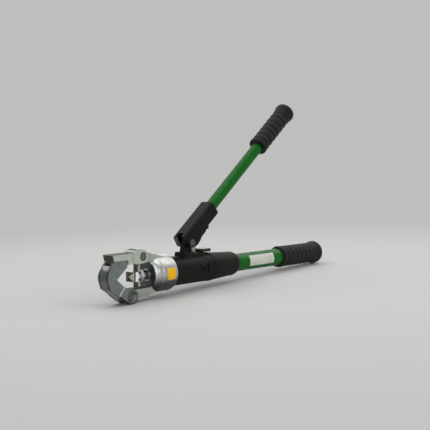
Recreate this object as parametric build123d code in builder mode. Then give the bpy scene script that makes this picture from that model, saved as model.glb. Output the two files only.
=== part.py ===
from build123d import *
import os
from math import acos, atan2, cos, hypot, radians, sin, tan

# Hand-pumped hydraulic crimping tool, in millimetres.
# X runs along the tool, from the yoke to the fixed grip, and Z is up.
# The origin is the crimp nest: the middle of the barrel that lies in the V anvil.

# Head
arm_thick = 20.0
tongue_thick = 10.0
fork_slot = 10.6
throat_z, throat_r, throat_round = 1.2, 17.8, 4.0
front_wall, dome_r, dome_middle, shoulder = 55.5, 16.6, (58.9, 22.1), (65.0, 25.2)
cylinder_x, head_rear = 66.0, 95.0
cylinder_r, rim_r, rim_width = 26.0, 25.3, 3.4
head_bore_r, head_bore_front, guide_r = 20.65, 70.0, 9.0
ring_groove_x, ring_groove_r = (86.4, 89.6), 22.0
bush_x, wiper_x = (58.5, 70.0), (55.7, 58.5)
pin_r, running_gap = 5.0, 0.05
pin_recess_r, pin_recess = 6.2, 2.2
clip_thick, clip_inset = 0.8, 0.15
centre_r, centre_tip_r, centre_depth = 3.2, 0.4, 2.8

# Latch
latch_pin = (38.2, 27.9)
latch_cheek_r, latch_cheek_y, latch_cheek_left = 9.5, 11.7, 20.9
latch_bar_low, latch_bar_top = 24.7, 33.3
latch_nose_top, latch_nose_low = -17.2, -15.2
tab_left, tab_right, tab_low = 11.4, 20.6, 18.7
lip_half = 6.0
lip_outer, lip_inner, lip_tip = -14.9, -9.4, 19.9
lip_lead_depth, lip_lead = 3.2, 1.4
cheek_slope_foot, cheek_slope_head = 25.0, 33.0

# Yoke
yoke_pin = (17.0, -25.7)
knuckle_r, knuckle_y = 10.2, 12.5
arch_centre, arch_r = (-7.3, 3.5), 19.0
arch_heel = (-22.0, -12.2)
arch_top, arch_top_left, arch_top_right = 24.2, -14.6, 9.5
anvil_apex, anvil_mouth, anvil_half_angle = -10.0, 9.0, 39.0
anvil_low_end = 6.0
step_start, step_dir = 3.2, (-0.633, -0.774)
notch_half, notch_inner, notch_low = 6.4, -8.6, 19.4
yoke_slot_r = 11.6
yoke_nose = [(-27.0, 10.2), (-24.0, 14.6), (-14.6, 25.2), (30.0, 75.0)]

# Ram, drawn back
indenter_tip, indenter_face, indenter_back = 21.0, 23.8, 32.0
indenter_wide, indenter_tall = 16.0, 13.6
collar_end, collar_r = 34.6, 7.5
bar_x, bar_half_y, bar_low, bar_top = (34.6, 38.8), 4.5, -15.4, 16.4
nut_end, nut_flats, stud_r = 43.8, 17.0, 5.0
rod_r, piston_x, piston_r = 6.5, (100.0, 112.0), 15.9
piston_groove_x, piston_groove_r = (105.0, 108.0), 13.4
stud_start = indenter_face + 3.0
ram_spring_in, ram_spring_out, spring_gap = 9.6, 12.6, 0.3

# Pump block
block_r, block_front, block_rear = 21.3, 95.3, 180.5
groove_x, groove_wide, groove_deep = (97.2, 100.4, 168.4), 1.2, 0.8
side_flat_x, side_flat_y, side_flat_tall = (104.0, 167.0), 20.2, 16.0
spigot_r, spigot_front = 20.6, 71.0
ram_bore_r, ram_bore_end = 16.0, 113.0
ring_seat_x, ring_in, ring_out, ring_gap = (86.5, 89.5), 19.4, 21.8, 0.1
seal_seat_x, seal_in, seal_gap = (91.0, 93.0), 19.2, 0.1
pad_x, pad_half_y, pad_low, pad_top, pad_round = (123.6, 172.0), 11.0, 8.0, 24.0, 4.0
collar_x, collar_in, collar_out = (180.5, 187.0), 17.0, 21.9
sleeve_x, sleeve_front_r, sleeve_rear_r = (187.4, 250.0), 21.5, 18.8
sleeve_turn, sleeve_shoulder = 233.0, (245.0, 17.4)
valve_z, valve_r, passage_r, oil_way_r = -8.0, 4.0, 1.5, 3.0
outlet_x, inlet_x = (113.0, 128.0), (160.5, 180.0)
relief_at, relief_flat_y, relief_flat_size = (157.0, 0.5), 19.6, (21.0, 13.0)
relief_depth, relief_way_r, relief_way_y = 9.0, 1.2, 3.2
ball_r, relief_ball_r, seat_r, inlet_seat_x, plug_thick = 3.0, 2.2, 2.0, 171.0, 3.0
spigot_rear = 216.0

# Fixed handle
tube_r, tube_wall, tube_x = 14.0, 2.0, (192.0, 476.5)
fixed_grip_x, fixed_grip_r, fixed_flare_r = (366.0, 481.5), 17.4, 19.5
plate_x, plate_z, plate_thick = (277.0, 340.5), (-6.6, 9.8), 0.2
patch_x, patch_z = (73.0, 88.5), (-7.0, 9.0)

# Rings of the two grips: the first groove from the front, their spacing and their number
fixed_grooves, handle_grooves = (11.5, 12.5, 7), (6.6, 11.55, 7)
groove_depth, flange_rise, grip_round = 1.1, 0.4, 7.0

# Moving handle, with its pivot, its lean and the pump drive
pivot = (138.4, 40.0)
handle_lean = 38.1
drive_reach, drive_drop = 14.6, -0.5
tube_line = 4.94
handle_tube_r, handle_tube_wall, handle_tube_a = 9.0, 1.8, (32.7, 321.5)
handle_grip_a, handle_grip_r, handle_flare_r = (224.7, 326.5), 14.9, 16.5
socket_half_y, socket_half, socket_a, socket_round = 13.0, 12.0, (-5.5, 72.7), 6.0
socket_slot, socket_slot_end, socket_roof, socket_ceiling = 10.6, 26.0, 1.5, 8.6
heel, heel_top, heel_half_y = (19.0, -13.2), 33.0, 8.6
flank_low, flank_turn, flank_end = -9.3, 15.5, 22.0
roll_pin_a, roll_pin_r, roll_pin_bore = 52.7, 2.0, 1.1
nose_a, nose_r, nose_stud_r, nose_low = 48.7, 4.5, 3.0, -15.2
pivot_eye_r, drive_eye_r = 7.0, 4.6
pivot_pin_r, drive_pin_r = 4.0, 2.6
bracket_x, bracket_half_y = (125.1, 146.5), 10.5
lug_half_y, lug_r, lug_foot_x = 4.2, 6.4, (129.4, 144.4)

# Pump plunger and release
plunger_x, plunger_r, chamber_r, chamber_low = 153.0, 5.0, 5.3, -14.0
packing_r, packing_z, gland_r, gland_z = 7.0, 15.6, 8.0, 18.0
release_hinge = (167.0, 26.2)
lever_low, lever_top, lever_end, lever_half_y, lever_round = 23.8, 28.6, 190.0, 7.8, 6.0
ear_r, ear_y, release_pin_r = 2.8, (8.2, 10.8), 1.5
lever_nest_x, lever_nest_low = (163.0, 173.0), 22.8
stem_x, stem_r, stem_low, stem_top, stem_bore_low = 175.0, 2.5, 10.0, 23.5, 2.0

FROM_END = (Align.CENTER, Align.CENTER, Align.MIN)
pieces = {}


def along_x(x, y=0.0, z=0.0):
    """A place whose axis points along the tool."""
    return Location((x, y, z), (0, 90, 0))


def along_y(x, y, z):
    """A place whose axis points across the tool."""
    return Location((x, y, z), (-90, 0, 0))


def upright(x, z, y=0.0):
    """A place whose axis points up."""
    return Location((x, y, z))


def rod(place, radius, length, mode=Mode.ADD):
    """A round rod, or a round hole, that starts at a place and follows its axis."""
    with Locations(place):
        Cylinder(radius, length, align=FROM_END, mode=mode)


def tube(place, inner, outer, length):
    """A plain ring or sleeve as a part of its own."""
    with BuildPart() as piece:
        rod(place, outer, length)
        rod(place, inner, length, Mode.SUBTRACT)
    return piece.part


def turned(profile, plane=Plane.XZ, axis=Axis.X):
    """A part turned about an axis from (along, radius) corners."""
    with BuildPart() as piece:
        with BuildSketch(plane):
            with BuildLine():
                Polyline(*profile, close=True)
            make_face()
        revolve(axis=axis)
    return piece.part


def on_circle(centre, radius, angle):
    """A point of a circle, for an angle in radians."""
    return (centre[0] + radius * cos(angle), centre[1] + radius * sin(angle))


def touch_from_point(point, centre, radius, side):
    """Where a line from a point touches a circle, on the given side."""
    back = (point[0] - centre[0], point[1] - centre[1])
    angle = atan2(back[1], back[0]) + side * acos(radius / hypot(*back))
    return on_circle(centre, radius, angle)


def touch_two_circles(first, first_r, second, second_r, side):
    """Where a line touches two circles on the same side."""
    step = (second[0] - first[0], second[1] - first[1])
    angle = atan2(step[1], step[0]) + side * acos((first_r - second_r) / hypot(*step))
    return on_circle(first, first_r, angle), on_circle(second, second_r, angle)


# Head body: a cylinder with two arms, each ending in a tongue round a pin
upper_arm = [(latch_pin[0], 37.1), (50.0, 32.3), (76.0, 25.6), (84.0, 24.0)]
lower_arm = [(84.0, -24.0), (62.0, -25.7), (yoke_pin[0], -31.3), (yoke_pin[0], -17.0)]
lower_arm.append((latch_pin[0], throat_z))
rear_edge = [
    (cylinder_x, cylinder_r),
    (head_rear - rim_width, cylinder_r),
    (head_rear - rim_width, rim_r),
    (head_rear - 0.8, rim_r),
    (head_rear, rim_r - 0.8),
    (head_rear, 0.0),
]
with BuildPart() as head_cylinder:
    with BuildSketch(Plane.XZ):
        with BuildLine():
            Line((front_wall, 0.0), (front_wall, dome_r))
            ThreePointArc((front_wall, dome_r), dome_middle, shoulder)
            Polyline(shoulder, *rear_edge, (front_wall, 0.0))
        make_face()
    revolve(axis=Axis.X)
latch_tongue_r, yoke_tongue_r, knuckle_gap = 9.2, 9.2, 0.7
with BuildPart() as head_body:
    with BuildSketch(Plane.XZ):
        with BuildLine():
            Polyline(*upper_arm, *lower_arm, close=True)
        make_face()
    extrude(amount=arm_thick / 2, both=True)
    with BuildSketch(Plane.XZ):
        with Locations(latch_pin):
            Circle(latch_cheek_r + knuckle_gap)
        with Locations(yoke_pin):
            Circle(knuckle_r + knuckle_gap)
    extrude(amount=arm_thick, both=True, mode=Mode.SUBTRACT)
    add(head_cylinder.part)
    with BuildSketch(Plane.XZ):
        with Locations((front_wall - 50.0, throat_z)):
            RectangleRounded(100.0, 2 * throat_r, throat_round)
    extrude(amount=2 * cylinder_r, both=True, mode=Mode.SUBTRACT)
    with BuildSketch(Plane.XZ):
        with BuildLine():
            Polyline(*upper_arm[:2], (56.0, 24.0), (latch_pin[0], 19.2), close=True)
        make_face()
        with Locations(latch_pin):
            Circle(latch_tongue_r)
        with BuildLine():
            Polyline((yoke_pin[0], -16.7), (33.0, -16.7), (33.0, -29.2), lower_arm[2], close=True)
        make_face()
        with Locations(yoke_pin):
            Circle(yoke_tongue_r)
    extrude(amount=tongue_thick / 2, both=True)
    rod(along_y(latch_pin[0], -arm_thick, latch_pin[1]), pin_r, 2 * arm_thick, Mode.SUBTRACT)
    rod(along_y(yoke_pin[0], -arm_thick, yoke_pin[1]), pin_r, 2 * arm_thick, Mode.SUBTRACT)
    rod(along_x(head_bore_front), head_bore_r, 40.0, Mode.SUBTRACT)
    rod(along_x(front_wall - 1.0), guide_r, 40.0, Mode.SUBTRACT)
    rod(along_x(ring_groove_x[0]), ring_groove_r, ring_groove_x[1] - ring_groove_x[0], Mode.SUBTRACT)
pieces["head_body"] = head_body.part

# Snap rings and pins of the head
for name, place, cheek_y in (("latch_pin", latch_pin, latch_cheek_y), ("yoke_pin", yoke_pin, knuckle_y)):
    recess_floor = cheek_y - pin_recess
    pin_half = cheek_y - 0.9
    clip_y = recess_floor + clip_inset
    groove_r = pin_r - 0.6
    with BuildPart() as pin:
        rod(along_y(place[0], -pin_half, place[1]), pin_r, 2 * pin_half)
        chamfer(pin.edges(), 0.5)
        for start in (-clip_y - clip_thick, clip_y):
            rod(along_y(place[0], start, place[1]), pin_r + 1, clip_thick, Mode.SUBTRACT)
            rod(along_y(place[0], start, place[1]), groove_r, clip_thick)
        with Locations(along_y(place[0], -pin_half, place[1])):
            Cone(centre_r, centre_tip_r, centre_depth, align=FROM_END, mode=Mode.SUBTRACT)
        with Locations(along_y(place[0], pin_half - centre_depth, place[1])):
            Cone(centre_tip_r, centre_r, centre_depth, align=FROM_END, mode=Mode.SUBTRACT)
    pieces[name] = pin.part
    with BuildPart() as clips:
        for start in (-clip_y - clip_thick, clip_y):
            rod(along_y(place[0], start, place[1]), pin_r + 0.9, clip_thick)
            rod(along_y(place[0], start, place[1]), groove_r, clip_thick, Mode.SUBTRACT)
        with Locations((place[0], 0, place[1] + pin_r)):
            Box(2.0, 4 * pin_r + 10, 3.0, mode=Mode.SUBTRACT)
    pieces[name + "_clips"] = clips.part

# Rod guide and wiper in the front wall, and the plain colour patch
pieces["rod_bush"] = tube(along_x(bush_x[0]), rod_r + running_gap, guide_r, bush_x[1] - bush_x[0])
pieces["rod_wiper"] = tube(along_x(wiper_x[0]), rod_r + running_gap, guide_r, wiper_x[1] - wiper_x[0])
with BuildPart() as head_patch:
    with BuildSketch(Plane.YZ.offset(patch_x[0])):
        Circle(cylinder_r + plate_thick)
        Circle(cylinder_r, mode=Mode.SUBTRACT)
        with Locations((-cylinder_r, sum(patch_z) / 2)):
            Rectangle(2 * cylinder_r, patch_z[1] - patch_z[0], mode=Mode.INTERSECT)
    extrude(amount=patch_x[1] - patch_x[0])
pieces["head_patch"] = head_patch.part

# Latch: a bar with a hook lip and a tab, and two cheeks round the upper tongue
with BuildPart() as latch:
    with BuildSketch(Plane.XZ):
        with BuildLine():
            Polyline(
                (latch_nose_top, latch_bar_top),
                (latch_nose_low, latch_bar_low),
                (tab_left, latch_bar_low),
                (tab_left, tab_low),
                (tab_right, tab_low),
                (30.0, latch_bar_low),
                (30.0, latch_bar_top),
                close=True,
            )
        make_face()
    extrude(amount=arm_thick / 2, both=True)
    with BuildSketch(Plane.XZ):
        with BuildLine():
            Polyline(
                (latch_cheek_left, latch_pin[1] + latch_cheek_r),
                (latch_pin[0], latch_pin[1] + latch_cheek_r),
                (latch_pin[0], latch_pin[1] - latch_cheek_r),
                (latch_cheek_left, latch_pin[1] - latch_cheek_r),
                close=True,
            )
        make_face()
        fillet(vertices().group_by(Axis.X)[0], radius=2.2)
        with Locations(latch_pin):
            Circle(latch_cheek_r)
    extrude(amount=latch_cheek_y, both=True)
    with BuildSketch(Plane.XZ):
        with BuildLine():
            Polyline(
                (latch_nose_low, latch_bar_low + 1.0),
                (latch_nose_low, latch_bar_low),
                (lip_outer, lip_tip),
                (lip_inner - lip_lead, lip_tip),
                (lip_inner, lip_tip + lip_lead_depth),
                (lip_inner, latch_bar_low + 1.0),
                close=True,
            )
        make_face()
    extrude(amount=lip_half, both=True)
    cheek_top = latch_pin[1] + latch_cheek_r
    with BuildSketch(Plane.XZ.offset(-fork_slot / 2)):
        with BuildLine():
            Polyline(
                (latch_cheek_left - 1.0, latch_bar_top),
                (cheek_slope_foot, latch_bar_top),
                (cheek_slope_head, cheek_top + 0.1),
                (latch_cheek_left - 1.0, cheek_top + 0.1),
                close=True,
            )
        make_face()
    extrude(amount=-latch_cheek_y, mode=Mode.SUBTRACT)
    with BuildSketch(Plane.XZ):
        with Locations(latch_pin):
            Circle(latch_tongue_r + 1.1)
        with Locations((latch_pin[0] + 20.0, latch_pin[1])):
            Rectangle(40.0, 60.0)
    extrude(amount=fork_slot / 2, both=True, mode=Mode.SUBTRACT)
    across = along_y(latch_pin[0], -latch_cheek_y, latch_pin[1])
    rod(across, pin_r + running_gap, 2 * latch_cheek_y, Mode.SUBTRACT)
    for start in (-latch_cheek_y, latch_cheek_y - pin_recess):
        rod(along_y(latch_pin[0], start, latch_pin[1]), pin_recess_r, pin_recess, Mode.SUBTRACT)
pieces["latch"] = latch.part

# Yoke: a C-shaped arch with the V anvil, its nose turned to a cone, and two proud cheeks round the
# lower tongue
yoke_blank = turned([(yoke_nose[0][0], 0.0), *yoke_nose, (yoke_nose[-1][0], 0.0)])
slope = tan(radians(anvil_half_angle))
anvil_top = (anvil_mouth, (anvil_mouth - anvil_apex) * slope)
anvil_low = (anvil_low_end, -(anvil_low_end - anvil_apex) * slope)
arch_corner = (arch_top_left, arch_top)
arch_start = touch_from_point(arch_corner, arch_centre, arch_r, 1)
arch_end = touch_from_point(arch_heel, arch_centre, arch_r, -1)
knuckle_start = touch_from_point(arch_heel, yoke_pin, knuckle_r, 1)
knuckle_end = touch_from_point(anvil_low, yoke_pin, knuckle_r, -1)
step_from = (step_start, -(step_start - anvil_apex) * slope)
step_to = (step_from[0] + 40 * step_dir[0], step_from[1] + 40 * step_dir[1])
step_back = (step_from[0] - 40 * step_dir[0], step_from[1] - 40 * step_dir[1])
with BuildPart() as yoke:
    with BuildSketch(Plane.XZ):
        with BuildLine():
            Polyline((arch_top_right, arch_top), arch_corner, arch_start)
            ThreePointArc(arch_start, (arch_centre[0] - arch_r, arch_centre[1]), arch_end)
            Polyline(arch_end, arch_heel, knuckle_start)
            ThreePointArc(knuckle_start, on_circle(yoke_pin, knuckle_r, radians(-24)), knuckle_end)
            Polyline(
                knuckle_end,
                anvil_low,
                (anvil_apex, 0.0),
                anvil_top,
                (arch_top_right, anvil_top[1] + 1.0),
                (arch_top_right, arch_top),
            )
        make_face()
    extrude(amount=knuckle_y, both=True)
    add(yoke_blank, mode=Mode.INTERSECT)
    for side in (-1, 1):
        with BuildSketch(Plane.XZ.offset(side * (knuckle_y + arm_thick / 2) / 2)):
            with BuildLine():
                Polyline(step_to, step_back, (-80.0, 60.0), (-80.0, -60.0), close=True)
            make_face()
        extrude(amount=(knuckle_y - arm_thick / 2) / 2, both=True, mode=Mode.SUBTRACT)
    with BuildSketch(Plane.XZ):
        with Locations(yoke_pin):
            Circle(yoke_slot_r)
    extrude(amount=fork_slot / 2, both=True, mode=Mode.SUBTRACT)
    with BuildSketch(Plane.XZ):
        with BuildLine():
            Polyline(
                (notch_inner, arch_top + 5.0),
                (notch_inner, notch_low),
                (-40.0, notch_low),
                (-40.0, arch_top + 5.0),
                close=True,
            )
        make_face()
    extrude(amount=notch_half, both=True, mode=Mode.SUBTRACT)
    rod(along_y(yoke_pin[0], -knuckle_y, yoke_pin[1]), pin_r + running_gap, 2 * knuckle_y, Mode.SUBTRACT)
    for start in (-knuckle_y, knuckle_y - pin_recess):
        rod(along_y(yoke_pin[0], start, yoke_pin[1]), pin_recess_r, pin_recess, Mode.SUBTRACT)
pieces["yoke"] = yoke.part

# Ram: piston and rod, crosshead bar, nut, and an indenter with a low four-sided point
seal_width = piston_groove_x[1] - piston_groove_x[0]
with BuildPart() as ram:
    rod(along_x(nut_end), rod_r, piston_x[0] - nut_end)
    rod(along_x(piston_x[0]), piston_r, piston_x[1] - piston_x[0])
    chamfer(ram.edges().group_by(Axis.X)[0], 1.0)
    rod(along_x(piston_groove_x[0]), piston_r + 1, seal_width, Mode.SUBTRACT)
    rod(along_x(piston_groove_x[0]), piston_groove_r, seal_width)
    rod(along_x(stud_start), stud_r, nut_end - stud_start)
pieces["ram"] = ram.part
piston_seal = tube(along_x(piston_groove_x[0]), piston_groove_r, ram_bore_r - running_gap, seal_width)
pieces["piston_seal"] = piston_seal
with BuildPart() as crosshead_bar:
    with BuildSketch(Plane.YZ.offset(bar_x[0])):
        with Locations((0.0, (bar_low + bar_top) / 2)):
            RectangleRounded(2 * bar_half_y, bar_top - bar_low, 1.2)
        Circle(stud_r, mode=Mode.SUBTRACT)
    extrude(amount=bar_x[1] - bar_x[0])
    add(tube(along_x(bar_x[0]), stud_r, collar_r, bar_x[1] - bar_x[0]))
pieces["crosshead_bar"] = crosshead_bar.part
with BuildPart() as ram_nut:
    with BuildSketch(Plane.YZ.offset(bar_x[1])):
        RegularPolygon(nut_flats / 2, 6, major_radius=False)
        Circle(stud_r, mode=Mode.SUBTRACT)
    extrude(amount=nut_end - bar_x[1])
pieces["ram_nut"] = ram_nut.part
with BuildPart() as indenter:
    with BuildSketch(Plane.YZ.offset(indenter_face)):
        Rectangle(indenter_wide, indenter_tall)
    with BuildSketch(Plane.YZ.offset(indenter_tip)):
        Rectangle(indenter_wide / 10, indenter_tall / 10)
    loft(ruled=True)
    with BuildSketch(Plane.YZ.offset(indenter_face)):
        Rectangle(indenter_wide, indenter_tall)
    extrude(amount=indenter_back - indenter_face)
    rod(along_x(indenter_back), collar_r, collar_end - indenter_back)
    rod(along_x(stud_start), stud_r, 30.0, Mode.SUBTRACT)
pieces["indenter"] = indenter.part
spring_length = piston_x[0] - head_bore_front - 2 * spring_gap
ram_spring = tube(along_x(head_bore_front + spring_gap), ram_spring_in, ram_spring_out, spring_length)
pieces["ram_spring"] = ram_spring

# Pump block: the ram's cylinder in front, the pump chamber and valves, and the tube's seat behind
block_grooves = []
for x in groove_x:
    floor_r = block_r - groove_deep
    block_grooves += [(x, block_r), (x, floor_r), (x + groove_wide, floor_r), (x + groove_wide, block_r)]
block_profile = [
    (spigot_front, 0.0),
    (spigot_front, spigot_r),
    (block_front, spigot_r),
    (block_front, block_r),
    *block_grooves,
    (block_rear, block_r),
    (block_rear, collar_in),
    (tube_x[0], collar_in),
    (tube_x[0], tube_r - tube_wall),
    (spigot_rear, tube_r - tube_wall),
    (spigot_rear, 0.0),
]
block_body = turned(block_profile)
pad_middle = sum(pad_x) / 2
screw_places = [(x, y) for x in (129.0, 142.6) for y in (-7.3, 7.3)]
screw_r, screw_head_r, screw_depth = 2.0, 3.6, 11.0
with BuildPart() as pump_block:
    add(block_body)
    with BuildSketch(Plane.XY.offset(pad_low)):
        with Locations((pad_middle, 0.0)):
            RectangleRounded(pad_x[1] - pad_x[0], 2 * pad_half_y, pad_round)
    extrude(amount=pad_top - pad_low)
    with BuildSketch(Plane.XZ):
        with Locations(release_hinge):
            Circle(ear_r)
        with Locations((release_hinge[0], pad_top)):
            Rectangle(2 * ear_r, 2 * (release_hinge[1] - pad_top))
    extrude(amount=ear_y[1], both=True)
    with Locations((sum(lever_nest_x) / 2, 0.0, lever_nest_low)):
        nest_size = (lever_nest_x[1] - lever_nest_x[0], 2 * ear_y[0], 10.0)
        Box(*nest_size, align=FROM_END, mode=Mode.SUBTRACT)
    for side in (-1, 1):
        with Locations((sum(side_flat_x) / 2, side * (side_flat_y + 5.0), 0.0)):
            Box(side_flat_x[1] - side_flat_x[0], 10.0, side_flat_tall, mode=Mode.SUBTRACT)
    with Locations((relief_at[0], -relief_flat_y - 5.0, relief_at[1])):
        Box(relief_flat_size[0], 10.0, relief_flat_size[1], mode=Mode.SUBTRACT)
    for (start, end), floor in ((ring_seat_x, ring_in), (seal_seat_x, seal_in)):
        rod(along_x(start), (spigot_r + block_r) / 2, end - start, Mode.SUBTRACT)
        rod(along_x(start), floor, end - start)
    rod(along_x(spigot_front), ram_bore_r, ram_bore_end - spigot_front, Mode.SUBTRACT)
    rod(along_x(outlet_x[0], 0.0, valve_z), valve_r, outlet_x[1] - outlet_x[0], Mode.SUBTRACT)
    rod(along_x(outlet_x[1], 0.0, valve_z), passage_r, inlet_x[0] - outlet_x[1], Mode.SUBTRACT)
    rod(along_x(inlet_x[0], 0.0, valve_z), valve_r, inlet_x[1] - inlet_x[0], Mode.SUBTRACT)
    rod(along_x(inlet_x[1], 0.0, valve_z), oil_way_r, spigot_rear - inlet_x[1], Mode.SUBTRACT)
    for low, radius in ((chamber_low, chamber_r), (packing_z, packing_r), (gland_z, gland_r)):
        rod(upright(plunger_x, low), radius, pad_top - low, Mode.SUBTRACT)
    relief_mouth = along_y(relief_at[0], -block_r, relief_at[1])
    rod(relief_mouth, valve_r, block_r - relief_depth, Mode.SUBTRACT)
    rod(relief_mouth, relief_way_r, block_r - relief_way_y, Mode.SUBTRACT)
    relief_way = along_x(plunger_x, -relief_way_y, relief_at[1])
    rod(relief_way, relief_way_r, relief_at[0] - plunger_x, Mode.SUBTRACT)
    rod(upright(stem_x, stem_bore_low), stem_r + running_gap, block_r, Mode.SUBTRACT)
    ears = along_y(release_hinge[0], -ear_y[1], release_hinge[1])
    rod(ears, release_pin_r, 2 * ear_y[1], Mode.SUBTRACT)
    for x, y in screw_places:
        rod(upright(x, pad_top - screw_depth + 2.4, y), screw_r, screw_depth, Mode.SUBTRACT)
pieces["pump_block"] = pump_block.part

# Rings that hold and seal the head on the block
ring_width = ring_seat_x[1] - ring_seat_x[0] - 2 * ring_gap
pieces["swivel_ring"] = tube(along_x(ring_seat_x[0] + ring_gap), ring_in, ring_out, ring_width)
seal_width = seal_seat_x[1] - seal_seat_x[0] - 2 * seal_gap
pieces["swivel_seal"] = tube(along_x(seal_seat_x[0] + seal_gap), seal_in, spigot_r - 0.02, seal_width)

# Valves inside the block
outlet_ball_x = outlet_x[1] - (ball_r ** 2 - passage_r ** 2) ** 0.5 - running_gap
inlet_ball_x = inlet_seat_x - (ball_r ** 2 - seat_r ** 2) ** 0.5 - running_gap
valve_spring_in, valve_spring_out, spring_nest = 2.4, 3.2, 2.2
with BuildPart() as check_balls:
    with Locations((outlet_ball_x, 0.0, valve_z), (inlet_ball_x, 0.0, valve_z)):
        Sphere(ball_r)
pieces["check_balls"] = check_balls.part
with BuildPart() as check_springs:
    for start, ball_x in ((outlet_x[0] + plug_thick, outlet_ball_x), (inlet_x[0], inlet_ball_x)):
        length = ball_x - spring_nest - start
        rod(along_x(start, 0.0, valve_z), valve_spring_out, length)
        rod(along_x(start, 0.0, valve_z), valve_spring_in, length, Mode.SUBTRACT)
pieces["check_springs"] = check_springs.part
with BuildPart() as check_plugs:
    for start, length in ((outlet_x[0], plug_thick), (inlet_seat_x, inlet_x[1] - inlet_seat_x)):
        rod(along_x(start, 0.0, valve_z), valve_r, length)
        rod(along_x(start, 0.0, valve_z), seat_r, length, Mode.SUBTRACT)
pieces["check_plugs"] = check_plugs.part
with BuildPart() as relief_plug:
    plug_head, plug_length, key_flats, key_depth = 0.9, 5.0, 5.0, 3.0
    rod(along_y(relief_at[0], -relief_flat_y - plug_head, relief_at[1]), valve_r + 1.8, plug_head)
    rod(along_y(relief_at[0], -relief_flat_y, relief_at[1]), valve_r, plug_length)
    with BuildSketch(Plane.XZ.offset(relief_flat_y + plug_head)):
        with Locations(relief_at):
            RegularPolygon(key_flats / 2, 6, major_radius=False)
    extrude(amount=-key_depth, mode=Mode.SUBTRACT)
pieces["relief_plug"] = relief_plug.part
relief_ball_y = -relief_depth - (relief_ball_r ** 2 - relief_way_r ** 2) ** 0.5 - running_gap
with BuildPart() as relief_ball:
    with Locations((relief_at[0], relief_ball_y, relief_at[1])):
        Sphere(relief_ball_r)
pieces["relief_ball"] = relief_ball.part
relief_spring_y = plug_length - relief_flat_y
relief_spring_end = relief_ball_y - relief_ball_r / 2
pieces["relief_spring"] = tube(
    along_y(relief_at[0], relief_spring_y, relief_at[1]),
    relief_ball_r,
    valve_spring_out,
    relief_spring_end - relief_spring_y,
)

# Plunger gland and seal
with BuildPart() as plunger_gland:
    rod(upright(plunger_x, gland_z), gland_r, pad_top - gland_z - 0.2)
    chamfer(plunger_gland.edges().group_by(Axis.Z)[-1], 0.6)
    rod(upright(plunger_x, gland_z), plunger_r + running_gap, gland_r, Mode.SUBTRACT)
    spanner_ring, spanner_r, spanner_depth = 6.5, 0.8, 3.0
    for y in (-spanner_ring, spanner_ring):
        rod(upright(plunger_x, pad_top - spanner_depth, y), spanner_r, spanner_depth, Mode.SUBTRACT)
pieces["plunger_gland"] = plunger_gland.part
packing_place = upright(plunger_x, packing_z)
pieces["plunger_seal"] = tube(packing_place, plunger_r + running_gap, packing_r, gland_z - packing_z)

# Bracket that carries the moving handle, with its screws, pin and clips
plate_low, plate_top = pad_top, pad_top + 2.5
with BuildPart() as handle_bracket:
    with BuildSketch(Plane.XY.offset(plate_low)):
        with Locations((sum(bracket_x) / 2, 0.0)):
            RectangleRounded(bracket_x[1] - bracket_x[0], 2 * bracket_half_y, 2.5)
    extrude(amount=plate_top - plate_low)
    with BuildSketch(Plane.XZ):
        with BuildLine():
            Polyline(
                (lug_foot_x[0], plate_low),
                touch_from_point((lug_foot_x[0], plate_low), pivot, lug_r, -1),
                touch_from_point((lug_foot_x[1], plate_low), pivot, lug_r, 1),
                (lug_foot_x[1], plate_low),
                close=True,
            )
        make_face()
        with Locations(pivot):
            Circle(lug_r)
    extrude(amount=lug_half_y, both=True)
    rod(along_y(pivot[0], -10.0, pivot[1]), pivot_pin_r, 20.0, Mode.SUBTRACT)
    for x, y in screw_places:
        rod(upright(x, plate_low, y), screw_r, 3.0, Mode.SUBTRACT)
        with Locations(upright(x, plate_top - 1.6, y)):
            Cone(screw_r, screw_head_r, 1.6, align=FROM_END, mode=Mode.SUBTRACT)
pieces["handle_bracket"] = handle_bracket.part
with BuildPart() as bracket_screws:
    for x, y in screw_places:
        rod(upright(x, pad_top - screw_depth + 2.6, y), screw_r, screw_depth - 1.7)
        with Locations(upright(x, plate_top - 1.6, y)):
            Cone(screw_r, screw_head_r, 1.6, align=FROM_END)
    with BuildSketch(Plane.XY.offset(plate_top)):
        with Locations(*screw_places):
            RegularPolygon(1.25, 6, major_radius=False)
    extrude(amount=-1.5, mode=Mode.SUBTRACT)
pieces["bracket_screws"] = bracket_screws.part
pivot_half = socket_half_y + 1.6
with BuildPart() as pivot_pin:
    rod(along_y(pivot[0], -pivot_half, pivot[1]), pivot_pin_r, 2 * pivot_half)
    chamfer(pivot_pin.edges(), 0.4)
    for start in (-socket_half_y - 1.0, socket_half_y + 0.2):
        rod(along_y(pivot[0], start, pivot[1]), pivot_pin_r + 1, 0.8, Mode.SUBTRACT)
        rod(along_y(pivot[0], start, pivot[1]), pivot_pin_r - 0.6, 0.8)
pieces["pivot_pin"] = pivot_pin.part
with BuildPart() as pivot_clips:
    for start in (-socket_half_y - 1.0, socket_half_y + 0.2):
        rod(along_y(pivot[0], start, pivot[1]), pivot_pin_r + 1.8, 0.8)
        rod(along_y(pivot[0], start, pivot[1]), pivot_pin_r - 0.6, 0.8, Mode.SUBTRACT)
    with Locations((pivot[0], 0.0, pivot[1] - pivot_pin_r)):
        Box(3.0, 40.0, 5.0, mode=Mode.SUBTRACT)
pieces["pivot_clips"] = pivot_clips.part

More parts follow.
